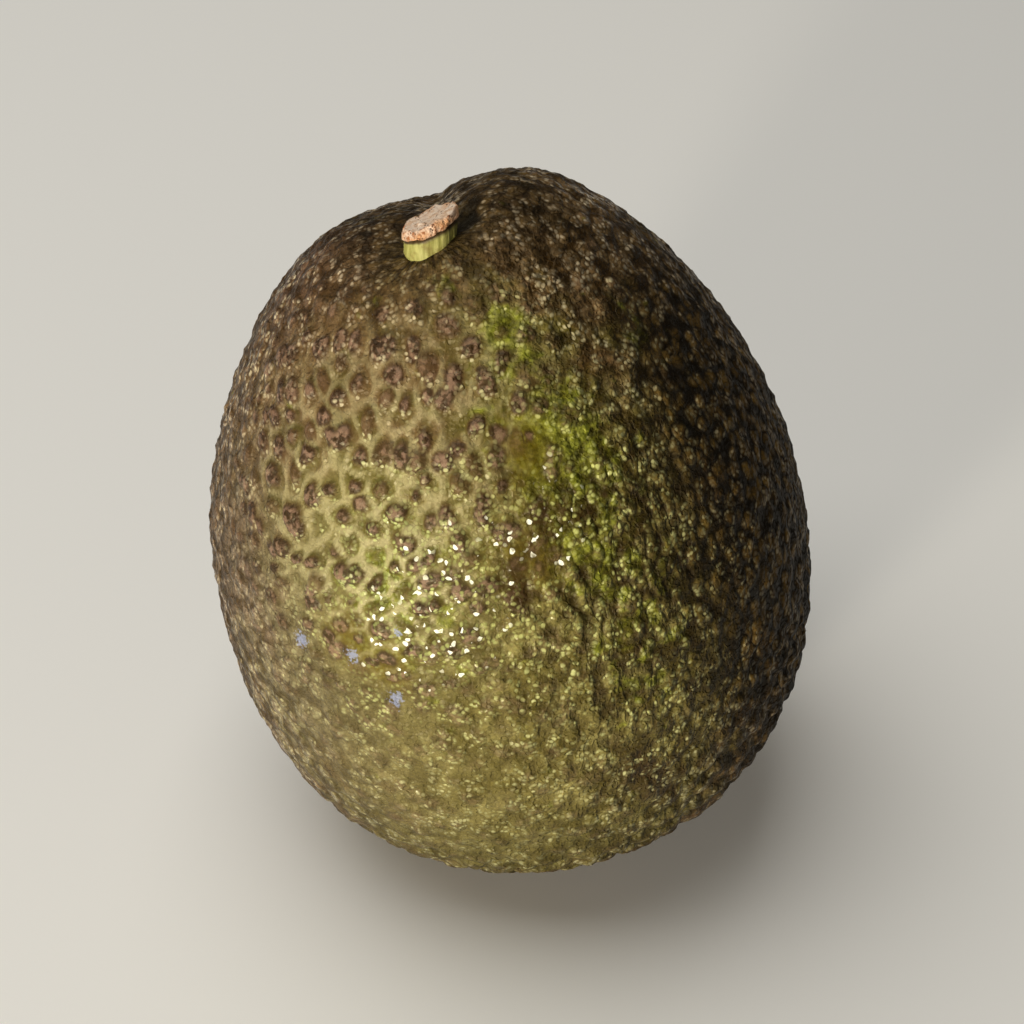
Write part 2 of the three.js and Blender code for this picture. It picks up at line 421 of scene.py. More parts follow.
def noise_shift(places, size, seeds):
    """Three such noises, as a shift along each axis."""
    return np.stack([noise_at(places, size, seed) for seed in seeds], axis=1)


def grid_directions():
    """A six-sided grid blown up to the unit sphere: directions, and squares facing out."""
    share = np.tan(np.linspace(-1, 1, GRID + 1) * math.pi / 4)
    u, v = np.meshgrid(share, share, indexing="ij")
    one = np.ones_like(u)
    sides = [(one, u, v), (-one, v, u), (v, one, u), (u, -one, v), (u, v, one), (v, u, -one)]
    points = np.concatenate([np.stack(s, axis=-1).reshape(-1, 3) for s in sides])
    row = GRID + 1
    corner = (np.arange(GRID)[:, None] * row + np.arange(GRID)[None, :]).ravel()
    square = np.stack([corner, corner + row, corner + row + 1, corner + 1], axis=1)
    squares = np.concatenate([square + side * row * row for side in range(6)])
    rounded = np.round(points * 1e6).astype(int)
    _, first, same = np.unique(rounded, axis=0, return_index=True, return_inverse=True)
    points = points[first]
    return points / np.linalg.norm(points, axis=1, keepdims=True), same.ravel()[squares]


def mesh_object(name, points_mm, faces, attributes=None):
    """A smooth-shaded mesh object in metres, with one number for each point in each attribute."""
    mesh = bpy.data.meshes.new(name)
    mesh.from_pydata((np.asarray(points_mm) * MM).tolist(), [], [list(map(int, f)) for f in faces])
    for key, values in (attributes or {}).items():
        layer = mesh.attributes.new(key, "FLOAT", "POINT")
        layer.data.foreach_set("value", np.asarray(values, np.float32))
    mesh.polygons.foreach_set("use_smooth", [True] * len(mesh.polygons))
    mesh.validate()
    thing = bpy.data.objects.new(name, mesh)
    bpy.context.scene.collection.objects.link(thing)
    return thing


def patch(d, azimuth_deg, height, reach_deg, tall=1.0):
    """1 in the middle of a soft patch of the skin, 0 away from it."""
    a = math.radians(azimuth_deg)
    ring = math.sqrt(1 - height * height)
    off = d - np.array([ring * math.cos(a), ring * math.sin(a), height])
    off[:, 2] /= tall
    return bell(np.linalg.norm(off, axis=1), math.radians(reach_deg))


def skin_regions(d, wander):
    """How far each kind of skin is there at each point, from 0 to 1. Wander makes its edges uneven."""
    regions = {}
    for name, patches in PATCHES.items():
        regions[name] = sum(share * patch(d, *where) for share, *where in patches)
    regions["green"] = regions["green"] + 0.25 * wander
    # The dark right, back and top: partly the skin's own dark colour, partly painted shade on the sides
    # turned away from the key light
    dark_right = smoothstep(d[:, 0] + 0.1 * wander, 0.44, 0.8) * smoothstep(-d[:, 1], -0.9, 0.2)
    dark_back = 0.75 * smoothstep(d[:, 1], 0.15, 0.85)
    dark_top = 0.6 * smoothstep(d[:, 2] + 0.03 * wander, 0.86, 0.97)
    regions["dark"] = np.maximum(np.maximum(dark_right, dark_back), dark_top)
    regions["low"] = smoothstep(0.3 * d[:, 0] - d[:, 2], 0.3, 0.7)
    regions["base"] = smoothstep(-d[:, 2] + 0.04 * wander, 0.22, 0.6)
    return {name: np.clip(amount, 0, 1) for name, amount in regions.items()}


def coarse_pebbles(places, bend, drift, regions, centres):
    """The relief of the solid's pebbles, and their masks.

    On bold skin each is a wart in a hollow cell with a raised net round it. Elsewhere it is broad and low.
    """
    shifted = places + BEND_REACH * bend + DRIFT_REACH * drift
    number, first, second = nearest_two(egg_space(centres), shifted)
    below = (shifted - egg_space(centres)[number]) @ TO_LOWER_SIDE
    bold = regions["bold"]
    wart = 1 - smoothstep(first / (1.0 + 0.65 * draw(number, 5)), 0.35, 1.15)
    broad = 1 - smoothstep(first, 0.3, 2.2)
    net = bell(second - first, RIDGE_WIDTH) * smoothstep(bend[:, 2], -0.7, 0.1)
    warty = WART_HEIGHT * wart * (0.6 + 0.8 * draw(number, 6)) + RIDGE_HEIGHT * net - HOLLOW_DEPTH
    plain = (BROAD_HEIGHT + LOW_EXTRA * regions["low"]) * (broad - 0.4)
    rim = bell(first - WART_RIM, 0.5)
    masks = {
        "wart": wart,
        "wart_draw": draw(number, 7),
        "net": net * bold,
        # Masks for painted light on each wart's lower side, toward the key light, and painted shade on its
        # upper side
        "lit_lower_side": rim * smoothstep(below, 0.0, 0.8),
        "shaded_upper_side": rim * smoothstep(-below, 0.0, 0.8),
    }
    return bold * warty + (1 - bold) * plain, masks


def fine_pebbles(places, bend, bold):
    """The relief of small pebbles over all the skin, lower between the warts."""
    centres = egg_space(spiral_directions(FINE_PEBBLES, FINE_JITTER, 11))
    number, away, _ = nearest_two(centres, places + FINE_BEND_REACH * bend)
    pebble = (1 - smoothstep(away, 0.1, 0.85)) * (0.3 + 0.7 * draw(number, 6))
    return FINE_HEIGHT * (1 - 0.6 * bold) * (pebble - 0.35)


def wrinkles(d, drift, wander, wrinkled):
    """1 at the bottom of the upright wrinkles, 0 away from them."""
    azimuth = np.arctan2(d[:, 1], d[:, 0])
    wave = np.sin(azimuth * WRINKLES_ROUND + 5 * wander + 4 * d[:, 2] + 3 * drift[:, 0])
    return smoothstep(wave, 0.2, 1) * wrinkled * smoothstep(drift[:, 1], -0.5, 0.4)


def fruit_relief(d, centres):
    """The skin's height above the smooth body, in millimetres, and the masks that its colours follow."""
    places = egg_space(d)
    bend = noise_shift(places, BEND_SIZE, (1, 2, 3))
    drift = noise_shift(places, DRIFT_SIZE, (5, 6, 7))
    wander = noise_at(places, WANDER_SIZE, 4)
    regions = skin_regions(d, wander)
    coarse, masks = coarse_pebbles(places, bend, drift, regions, centres)
    pebbles = coarse + fine_pebbles(places, bend, regions["bold"])
    wrinkle = wrinkles(d, drift, wander, regions["wrinkled"])
    height = SKIN_LEVEL + pebbles * pebble_strength(d) * (1 - 0.85 * regions["smooth"])
    height = height + LUMP_HEIGHT * drift[:, 2] - WRINKLE_DEPTH * wrinkle - PIT_DEPTH * regions["pit"]
    masks |= {name: regions[name] for name in REGION_MASKS}
    masks["wrinkle"] = wrinkle
    masks["near_stem"] = 1 - smoothstep(stem_distance(d), RAYS_FROM, RAYS_TO)
    masks["scar"] = np.where(d[:, 2] < 0, bell(np.hypot(d[:, 0], d[:, 1]) * HALF_WIDTH, SCAR_RADIUS), 0)
    return height, masks


def make_fruit():
    """The fine skin, kept inside the solid's box, and the shift that puts the body in its place."""
    directions, squares = grid_directions()
    centres = spiral_directions(PEBBLES, PEBBLE_JITTER, 1)
    height, masks = fruit_relief(directions, centres)
    shift = place_shift(centres, pebble_peaks(centres))
    points = body_points(directions) + outward(directions) * height[:, None] + shift
    points[:, 2] = np.maximum(points[:, 2], 0) + SCAR_DEPTH * masks["scar"]
    inner_low = np.array(cad_low) / MM + [BOX_MARGIN, BOX_MARGIN, 0]
    inner_high = np.array(cad_high) / MM - [BOX_MARGIN, BOX_MARGIN, 0]
    return mesh_object("skin", np.clip(points, inner_low, inner_high), squares, masks), shift


# Materials


def rgb(screen):
    """A colour given as 0 to 255 on a screen, for a shader."""
    shares = [c / 255 for c in screen]
    linear = [s / 12.92 if s <= 0.04045 else ((s + 0.055) / 1.055) ** 2.4 for s in shares]
    return (*linear, 1)


class Nodes:
    """A material's node tree, with short calls for what the looks need."""

    def __init__(self, name):
        self.material = bpy.data.materials.new(name)
        self.material.use_nodes = True
        self.tree = self.material.node_tree
        self.shader = self.tree.nodes["Principled BSDF"]

    def add(self, kind, settings=None, **inputs):
        node = self.tree.nodes.new(kind)
        for key, value in (settings or {}).items():
            setattr(node, key, value)
        for key, value in inputs.items():
            self.put(node.inputs[key.replace("_", " ")], value)
        return node

    def put(self, socket, value):
        if isinstance(value, bpy.types.NodeSocket):
            self.tree.links.new(value, socket)
        else:
            socket.default_value = value

    def fill(self, sockets, values):
        for socket, value in zip(sockets, values):
            self.put(socket, value)

    def math(self, operation, a, b=0.0, c=0.0):
        node = self.add("ShaderNodeMath", {"operation": operation})
        self.fill(node.inputs, (a, b, c))
        return node.outputs[0]

    def times(self, *values):
        total = values[0]
        for value in values[1:]:
            total = self.math("MULTIPLY", total, value)
        return total

    def plus(self, *values):
        total = values[0]
        for value in values[1:]:
            total = self.math("ADD", total, value)
        return total

    def largest(self, a, b):
        return self.math("MAXIMUM", a, b)

    def rest(self, share):
        """What a share leaves of 1."""
        return self.math("SUBTRACT", 1.0, share)

    def attribute(self, name):
        return self.add("ShaderNodeAttribute", {"attribute_name": name}).outputs["Fac"]

    def place(self):
        return self.add("ShaderNodeTexCoord").outputs["Object"]

    def noise(self, size_mm, detail=2.0, vector=None):
        node = self.add("ShaderNodeTexNoise", Scale=1 / (size_mm * MM), Detail=detail)
        self.put(node.inputs["Vector"], vector or self.place())
        return node.outputs["Fac"]

    def colour_noise(self, size_mm):
        """Three plain noises in one colour, without finer detail."""
        node = self.add("ShaderNodeTexNoise", Scale=1 / (size_mm * MM), Detail=0.0, Vector=self.place())
        return node.outputs["Color"]

    def cells(self, size_mm, vector):
        return self.add("ShaderNodeTexVoronoi", Scale=1 / (size_mm * MM), Vector=vector)

    def ramp(self, value, low, high, to_low=0.0, to_high=1.0):
        """A soft step of the value between low and high, from to_low to to_high."""
        node = self.add("ShaderNodeMapRange", {"interpolation_type": "SMOOTHSTEP"})
        names = ("Value", "From Min", "From Max", "To Min", "To Max")
        self.fill([node.inputs[name] for name in names], (value, low, high, to_low, to_high))
        return node.outputs["Result"]

    def vector(self, operation, a, b=None, scale=None, output="Vector"):
        node = self.add("ShaderNodeVectorMath", {"operation": operation})
        self.put(node.inputs[0], a)
        if b is not None:
            self.put(node.inputs[1], b)
        if scale is not None:
            self.put(node.inputs["Scale"], scale)
        return node.outputs[output]

    def bent(self, size_mm, reach_mm):
        """The place, shifted by noise, so that the patterns on it have natural outlines."""
        shift = self.vector("SUBTRACT", self.colour_noise(size_mm), (0.5, 0.5, 0.5))
        return self.vector("ADD", self.place(), self.vector("SCALE", shift, scale=reach_mm * MM))

    def stretched(self, vector, factors):
        node = self.add("ShaderNodeMapping", Vector=vector)
        node.inputs["Scale"].default_value = factors
        return node.outputs[0]

    def part(self, colour, channel):
        return self.add("ShaderNodeSeparateColor", Color=colour).outputs[channel]

    def grey(self, value):
        return self.add("ShaderNodeCombineColor", Red=value, Green=value, Blue=value).outputs[0]

    def mix_value(self, share, a, b):
        node = self.add("ShaderNodeMix", {"data_type": "FLOAT"})
        self.fill(node.inputs[:1] + node.inputs[2:4], (share, a, b))
        return node.outputs[0]

    def mix(self, share, a, b, blend="MIX"):
        node = self.add("ShaderNodeMix", {"data_type": "RGBA", "blend_type": blend})
        self.fill(node.inputs[:1] + node.inputs[6:8], (share, a, b))
        return node.outputs[2]

    def between(self, share, screens):
        """From the first of two screen colours to the second."""
        first, second = screens
        return self.mix(share, rgb(first), rgb(second))

    def cover(self, colour, share, screen):
        """The colour, covered with a screen colour by a share."""
        return self.mix(share, colour, rgb(screen))

    def shade(self, colour, factor):
        return self.mix(1.0, colour, factor, "MULTIPLY")

    def bump(self, height_mm):
        return self.add("ShaderNodeBump", Strength=1.0, Distance=MM, Height=height_mm).outputs["Normal"]

    def set(self, **inputs):
        for key, value in inputs.items():
            self.put(self.shader.inputs[key.replace("_", " ")], value)


def lumps(n, upright):
    """Lumps of the skin, round or upright: their tops and a number for each."""
    bent = n.bent(1.6, 0.8)
    round_ones = n.cells(LUMP_SPACING, bent)
    upright_ones = n.cells(UPRIGHT_LUMP_SPACING, n.stretched(bent, (1, 1, 0.6)))
    away = n.mix_value(upright, round_ones.outputs["Distance"], upright_ones.outputs["Distance"])
    numbers = [n.part(cells.outputs["Color"], 0) for cells in (round_ones, upright_ones)]
    return n.ramp(away, 0.15, 0.8, 1.0, 0.0), n.mix_value(upright, *numbers)


def beads(n, m):
    """Tiny flat beads, each tilted its own way: tops, paleness, tilt in mm and a number for each."""
    bent = n.bent(0.9, 0.4)
    cells = n.cells(BEAD_SPACING, bent)
    off = n.vector("SUBTRACT", bent, cells.outputs["Position"])
    lean = n.vector("SUBTRACT", cells.outputs["Color"], (0.5, 0.5, 0.5))
    lean = n.vector("SCALE", lean, scale=n.mix_value(m["glints"], 0.7, 0.35))
    upward = n.add("ShaderNodeCombineXYZ", X=0.0, Y=0.0, Z=n.times(m["glints"], -0.25)).outputs[0]
    lean = n.vector("ADD", lean, upward)
    tilt = n.times(n.vector("DOT_PRODUCT", off, lean, output="Value"), 1 / MM)
    away = cells.outputs["Distance"]
    top = n.ramp(away, 0.42, 0.8, 1.0, 0.0)
    paleness = n.ramp(away, 0.2, 0.66, 1.0, 0.0)
    return top, paleness, tilt, n.part(cells.outputs["Color"], 1)


def gaps(n):
    """Dark upright gaps between strands of lumps."""
    strands = n.noise(STRAND_SIZE, 2, n.stretched(n.place(), (1, 1, 0.4)))
    return n.ramp(strands, 0.39, 0.48, 1.0, 0.0)


def stem_rays(n, foot):
    """Fine ridges that run out from the stem's foot."""
    off = n.vector("SUBTRACT", n.place(), tuple(foot))
    parts = n.add("ShaderNodeSeparateXYZ", Vector=off).outputs
    turn = n.math("ARCTAN2", parts[1], parts[0])
    away = n.vector("LENGTH", off, output="Value")
    where = n.add("ShaderNodeCombineXYZ", X=n.times(turn, 8 * MM), Y=n.times(away, 0.12)).outputs[0]
    return n.noise(RAY_SIZE, 2, where)


def skin_patterns(n, m, foot):
    """The patterns that the skin's colour, relief and roughness share."""
    p = SimpleNamespace()
    p.blotch = n.noise(BLOTCH_SIZE, 3)
    p.speck = n.noise(SPECK_SIZE, 4)
    p.dust = n.noise(DUST_SIZE, 2)
    p.rays = stem_rays(n, foot)
    p.lump, p.lump_draw = lumps(n, n.largest(m["dark"], m["wrinkled"]))
    p.bead, p.bead_paleness, p.bead_tilt, p.bead_draw = beads(n, m)
    closed = n.largest(m["bold"], n.times(m["leaf"], 0.8))
    p.gap = n.times(gaps(n), n.plus(0.15, m["wrinkled"]), n.rest(closed))
    # Clusters gather on the warts' lower sides, toward the key light, and in the glints patch: in the
    # colour this is partly painted highlight
    lower_sides = n.ramp(m["lit_lower_side"], 0.0, 0.5, n.times(m["glints"], 0.6), 1.0)
    tops = n.mix_value(m["bold"], n.ramp(p.lump, 0.15, 0.5), lower_sides)
    crowds = n.plus(n.noise(CLUSTER_SIZE, 3), n.times(m["glints"], 0.1))
    p.cluster = n.times(n.ramp(crowds, 0.4, 0.56), tops)
    return p


def ground_colour(n, m, p):
    """Brown to olive skin, with bright green, purple, hazy and smooth amber patches."""
    patchy = n.math("MULTIPLY_ADD", p.blotch, 1.2, -0.6)
    brown = n.between(n.ramp(p.blotch, 0.35, 0.65), BROWN_SKIN)
    olive = n.between(n.ramp(p.blotch, 0.35, 0.65), OLIVE_SKIN)
    leaf = n.between(n.ramp(p.speck, 0.35, 0.65), LEAF_SKIN)
    colour = n.mix(n.ramp(n.plus(m["green"], patchy), 0.1, 0.6), brown, olive)
    spots = n.noise(SPOT_SIZE, 2)
    colour = n.cover(colour, n.times(n.ramp(spots, 0.36, 0.46, 0.75, 0.0), m["leaf"]), LEAF_SPOTS)
    share = n.plus(m["leaf"], n.math("MULTIPLY_ADD", spots, 2.4, -1.2))
    colour = n.mix(n.ramp(share, 0.4, 0.8, 0.0, 0.9), colour, leaf)
    colour = n.cover(colour, n.times(m["purple"], 0.6), PURPLE_SKIN)
    colour = n.cover(colour, n.times(m["haze"], 0.4), HAZE_SKIN)
    return n.cover(colour, n.times(m["smooth"], 0.75), SMOOTH_SKIN)


def warts_in_net(n, m, p, colour):
    """Dark green hollows with painted shade on the warts' upper sides, pale ridges between them, partly
    painted sheen, and purple-brown warts with soft halos in them.
    """
    hollow = n.ramp(n.largest(m["wart"], m["net"]), 0.1, 0.6, 0.35, 0.0)
    # The hollows' own dark green, and painted shade on each wart's upper side
    colour = n.cover(colour, n.times(n.largest(m["shaded_upper_side"], hollow), m["bold"], 0.85), HOLLOWS_AND_SHADE)
    # Pale ridges: partly their own pale colour, partly painted sheen, strongest in the pale patch near the
    # key light's reflection
    ridge = n.times(n.ramp(m["net"], 0.15, 0.85), n.mix_value(m["pale"], 0.3, 0.85))
    colour = n.cover(colour, ridge, RIDGES_AND_SHEEN)
    halo = n.times(n.ramp(m["wart"], 0.02, 0.5), n.mix_value(m["pale"], 0.75, 0.35), m["bold"])
    colour = n.cover(colour, halo, WART_HALO)
    grain = n.between(n.ramp(m["wart"], 0.5, 0.95), WARTS)
    grain = n.cover(grain, n.ramp(p.speck, 0.43, 0.58), WART_SPECKS)
    share = n.ramp(n.math("MULTIPLY_ADD", p.speck, 0.7, m["wart"]), 0.55, 1.1)
    some = n.ramp(m["wart_draw"], 0.0, 0.4, 0.2, 1.0)
    share = n.times(share, some, n.ramp(m["bold"], 0.1, 0.6, 0.3, 1.0))
    return n.mix(n.times(share, 0.8), colour, grain)


def dark_and_shaded_side(n, m, p, colour):
    """Nearly black valleys with brown lumps on the dark side: partly the skin's own dark colour, partly
    painted shade, deepest in the valleys.
    """
    tops = n.between(p.lump_draw, DARK_TOPS)
    return n.mix(n.times(m["dark"], 0.95), colour, n.mix(p.lump, rgb(SHADED_DARK_VALLEYS), tops))


def rays_round_stem(n, m, p, colour):
    # The skin's own striations round the stem, darkened as painted shade of the hollow there
    rays = n.between(n.ramp(p.rays, 0.35, 0.65), STEM_RAYS_AND_SHADE)
    return n.mix(n.times(m["near_stem"], 0.75), colour, rays)


def lumps_and_valley_shade(n, m, p, colour):
    """Lumps of uneven brightness, painted shade in the valleys between them with slightly lighter tops, and
    fine grit.
    """
    uneven = n.shade(colour, n.mix(p.lump_draw, DULL_LUMP, BRIGHT_LUMP))
    colour = n.mix(n.mix_value(m["even"], 1.0, 0.3), colour, uneven)
    # Painted shade: darker valleys between the lumps, and slightly lighter tops
    top = n.ramp(n.plus(p.lump, n.times(p.speck, 0.9)), 0.45, 1.0)
    colour = n.shade(colour, n.mix(n.mix_value(m["even"], top, 1.0), PAINTED_VALLEY_SHADE, PAINTED_TOP_LIGHT))
    strong_grit = n.ramp(p.dust, 0.3, 0.7, 0.7, 1.25)
    faint_grit = n.ramp(p.dust, 0.3, 0.7, 0.9, 1.06)
    return n.shade(colour, n.grey(n.mix_value(m["even"], strong_grit, faint_grit)))


def gaps_and_bruises(n, m, p, colour):
    """Dark gaps and wrinkles, and soft dark bruises."""
    colour = n.cover(colour, n.times(n.largest(m["wrinkle"], p.gap), 0.7), GAPS)
    bruise = n.ramp(n.plus(m["bruise"], n.math("MULTIPLY_ADD", p.blotch, 1.6, -0.8)), 0.3, 0.7)
    return n.cover(colour, n.times(bruise, m["bruise"], 0.9), BRUISES)


def pale_beads(n, m, p, colour):
    """Beads, the palest in clusters and on the lower sides of the warts, on slightly darker skin. Where the
    clusters follow the warts' lit lower sides and the glints and pale patches, their paleness is partly
    painted highlight.
    """
    closed = n.largest(n.times(m["near_stem"], 0.55), n.times(m["smooth"], 0.8))
    strength = n.mix_value(m["pale"], n.mix_value(m["even"], 1.0, 0.78), 1.1)
    strength = n.times(n.mix_value(m["dark"], 0.95, 0.35), n.mix_value(m["haze"], 1.0, 0.65), strength)
    share = n.times(n.ramp(p.bead_draw, 0.0, 0.9), p.bead_paleness, p.cluster, strength, n.rest(closed))
    tint = n.between(m["green"], BEADS)
    tint = n.cover(tint, n.times(n.largest(m["leaf"], m["glints"]), 0.7), BRIGHT_BEADS)
    tint = n.cover(tint, n.times(m["pale"], 0.5), PALE_BEADS)
    around = n.mix_value(p.cluster, n.mix_value(m["even"], 0.72, 0.95), 1.0)
    return n.mix(share, n.shade(colour, n.grey(around)), tint)


def white_glints(n, m, p, colour):
    """Painted highlights: a few beads painted white as glints of the key light in the bright area."""
    chosen = n.ramp(n.math("MULTIPLY_ADD", m["glints"], 0.32, p.bead_draw), 1.19, 1.22)
    share = n.times(chosen, n.ramp(p.bead, 0.2, 0.7), n.ramp(p.cluster, 0.1, 0.4))
    return n.cover(colour, share, GLINTS)


def small_marks(n, m, p, colour):
    """The duller base, the bluish bloom, painted shadow in the pit beside the stem, and the flower's scar.
    """
    colour = n.shade(colour, n.grey(n.mix_value(m["base"], 1.0, 0.7)))
    frost = n.plus(m["bloom"], n.math("MULTIPLY_ADD", p.dust, 2.0, -1.0))
    colour = n.cover(colour, n.ramp(frost, 0.45, 0.9, 0.0, 0.65), BLOOM)
    # Painted shadow in the pit beside the stem
    colour = n.cover(colour, n.times(m["pit"], 0.9), PIT_SHADOW)
    return n.cover(colour, m["scar"], SCAR)


# Each layer of the skin's colour covers or shades the ones before it
SKIN_LAYERS = (
    warts_in_net,
    dark_and_shaded_side,
    rays_round_stem,
    lumps_and_valley_shade,
    gaps_and_bruises,
    pale_beads,
    white_glints,
    small_marks,
)


def skin_colour(n, m, p):
    colour = ground_colour(n, m, p)
    for layer in SKIN_LAYERS:
        colour = layer(n, m, p, colour)
    return colour


def skin_relief(n, m, p):
    """The finest relief, in millimetres."""
    lump_height = n.mix_value(m["even"], LUMP_RELIEF, EVEN_LUMP_RELIEF)
    lump = n.times(p.lump, n.times(lump_height, n.mix_value(m["bold"], 1.0, 0.15)))
    bead = n.times(p.bead, n.plus(BEAD_RELIEF, n.times(p.cluster, CLUSTER_BEAD_RELIEF)))
    tilt = n.times(p.bead_tilt, p.bead)
    calm = n.times(n.mix_value(m["bold"], 1.0, 0.35), n.mix_value(p.bead, 1.0, 0.15))
    fine = n.times(n.plus(n.times(p.speck, SPECK_RELIEF), n.times(p.dust, DUST_RELIEF)), calm)
    relief = n.plus(lump, bead, tilt, fine, n.times(p.gap, GAP_RELIEF))
    relief = n.times(relief, n.rest(n.times(m["smooth"], 0.75)))
    return n.plus(relief, n.times(p.rays, m["near_stem"], RAY_RELIEF))


def skin_roughness(n, m, p):
    """Satin skin with glossy beads, the glossiest in the clusters, and dull dark skin."""
    base = n.mix_value(m["dark"], n.mix_value(m["bold"], 0.55, 0.44), 0.95)
    shiny = n.ramp(p.bead_draw, 0.0, 1.0, 0.34, 0.2)
    share = n.mix_value(m["dark"], n.plus(0.3, n.times(p.cluster, 0.7)), 0.5)
    gloss = n.times(n.ramp(p.bead, 0.2, 0.55), share)
    return n.largest(n.mix_value(gloss, base, shiny), n.times(p.gap, 0.7))


def skin_material(foot):
    n = Nodes("skin")
    masks = {name: n.attribute(name) for name in REGION_MASKS + RELIEF_MASKS}
    patterns = skin_patterns(n, masks, foot)
    n.set(Base_Color=skin_colour(n, masks, patterns))
    n.set(Roughness=skin_roughness(n, masks, patterns))
    n.set(Normal=n.bump(skin_relief(n, masks, patterns)))
    n.shader.inputs["Specular IOR Level"].default_value = 0.2
    n.shader.inputs["Specular Tint"].default_value = (1.0, 0.9, 0.66, 1)
    return n.material


# The stem stub


def stem_frame(shift):
    """The stem's place and lean as one matrix, from its own frame in millimetres."""
    up = math.sqrt(1 - STEM_X**2 - STEM_Y**2)
    foot = body_points(np.array([[STEM_X, STEM_Y, up]]))[0] + shift
    return Matrix.Translation(Vector(foot)) @ Matrix.Rotation(-STEM_LEAN, 4, "Y")


def ring_points(share, height, follow, lift):
    """Points of one uneven ring of the stem, with a share of its radius and its height.

    It follows a share of the cut's slope, and its right side is lifted.
    """
    turn = 2 * math.pi * np.arange(STEM_SIDES) / STEM_SIDES
    wave = 0.5 * np.sin(3 * turn + 0.6) + 0.35 * np.sin(7 * turn + 2.1)
    radius = STEM_RADIUS * share * (1 + 0.05 * wave)
    x, y = radius * np.cos(turn), radius * np.sin(turn)
    slope = CUT_SLOPE_X * x + CUT_SLOPE_Y * y
    z = height + follow * slope + lift * smoothstep(np.cos(turn), -0.1, 0.9)
    return np.stack([x, y, z], axis=1)


def turned_faces(ring_count):
    """The faces of a turned piece: rings of squares, and a fan of triangles at each end."""
    starts = [1 + level * STEM_SIDES for level in range(ring_count)]
    last = 1 + ring_count * STEM_SIDES
    faces = []
    for side in range(STEM_SIDES):
        following = (side + 1) % STEM_SIDES
        faces.append((0, 1 + following, 1 + side))
        for a, b in zip(starts, starts[1:]):
            faces.append((a + side, a + following, b + following, b + side))
        faces.append((last, starts[-1] + side, starts[-1] + following))
    return faces


def turned(name, rings, place, unevenness, face_from):
    """A round, uneven piece from rings. Its attribute cut_face is 1 from ring number face_from on."""
    first_middle, last_middle = [[0, 0, rings[0][1]]], [[0, 0, rings[-1][1]]]
    points = np.concatenate([first_middle, *(ring_points(*ring) for ring in rings), last_middle])
    rough = noise_shift(points, 1.3, (21, 22, 23)) + 0.6 * noise_shift(points, 0.5, (24, 25, 26))
    points = np.array([place @ Vector(p) for p in points + unevenness * rough])
    points[:, 2] = np.minimum(points[:, 2], cad_high[2] / MM - BOX_MARGIN)
    cut_face = np.arange(len(points)) > face_from * STEM_SIDES
    return mesh_object(name, points, turned_faces(len(rings)), {"cut_face": cut_face})


def make_stem(place):
    """The green stalk, up to its rim under the cork, which is painted dark as shade in the gap there."""
    top = STEM_HEIGHT - CORK_THICKNESS
    shares = np.linspace(0, 1, 9)
    rings = [(0.99 - 0.02 * s, -SOCKET_DEPTH + (top + 0.6) * s, max(0, s * 1.4 - 0.4), 0) for s in shares]
    rings += [(0.88, top + 0.05, 1, 0), (0.8, top + 0.2, 1, 0), (0.4, top + 0.2, 1, 0)]
    return turned("stalk", rings, place, STALK_UNEVENNESS, len(shares) - 1)


def make_cork(place):
    """The corky end, with a rounded rim and a slightly hollow face."""
    low = STEM_HEIGHT - CORK_THICKNESS
    rings = [(s, low + 0.25, 1, 0) for s in (0.3, 0.6, 0.85)]
    rings += [(0.93, low + 0.2, 1, 0), (0.99, low + 0.4, 1, 0)]
    rings += [(1.01, low + 0.8, 1, 0), (1.0, low + 1.3, 1, 0), (0.96, STEM_HEIGHT - 0.16, 1, 0.1)]
    face_from = len(rings)
    shares = np.linspace(0.9, 0.06, CORK_FACE_RINGS)
    rings += [(s, STEM_HEIGHT - 0.2 - 0.25 * (1 - s), 1, 0.1) for s in shares]
    return turned("cork_end", rings, place, CORK_UNEVENNESS, face_from)


def stalk_material():
    n = Nodes("stalk")
    grain = n.noise(0.4, 3, n.stretched(n.place(), (1, 1, 0.12)))
    blotch = n.noise(1.3, 3)
    colour = n.between(n.ramp(grain, 0.3, 0.7), STALK)
    colour = n.cover(colour, n.ramp(blotch, 0.48, 0.66, 0.0, 0.7), STALK_BLOTCHES)
    # Painted shade on the stalk's rim in the gap under the cork
    colour = n.cover(colour, n.times(n.attribute("cut_face"), 0.9), STALK_RIM_SHADE)
    height = n.plus(n.times(grain, 0.1), n.times(blotch, 0.16))
    n.set(Base_Color=colour, Roughness=0.6, Normal=n.bump(height))
    return n.material


def cork_material():
    n = Nodes("cork")
    grain = n.noise(0.45, 5)
    pores = n.ramp(n.cells(0.42, n.bent(0.5, 0.3)).outputs["Distance"], 0.08, 0.34)
    colour = n.between(n.ramp(n.noise(2.0, 2), 0.4, 0.62), CORK)
    colour = n.cover(colour, n.ramp(grain, 0.5, 0.68), CORK_GRAIN)
    streaks = n.noise(0.5, 3, n.stretched(n.place(), (0.35, 1, 1)))
    # The cut face's own paler colour, made brighter as painted light on the upward face
    face = n.between(n.ramp(streaks, 0.42, 0.6), LIT_CORK_FACE)
    colour = n.mix(n.times(n.attribute("cut_face"), 0.85), colour, face)
    colour = n.mix(pores, rgb(CORK_PORES), colour)
    height = n.plus(n.times(pores, 0.14), n.times(grain, 0.5))
    n.set(Base_Color=colour, Roughness=0.85, Normal=n.bump(height))
    return n.material


# Floor, lights and camera


def make_floor():
    corners = [(-1, -1), (1, -1), (1, 1), (-1, 1)]
    points = [(x * FLOOR_REACH, y * FLOOR_REACH, 0) for x, y in corners]
    floor = mesh_object("floor", points, [(0, 1, 2, 3)])
    n = Nodes("floor")
    n.set(Base_Color=rgb(FLOOR), Roughness=0.8)
    n.shader.inputs["Specular IOR Level"].default_value = 0.2
    floor.data.materials.append(n.material)


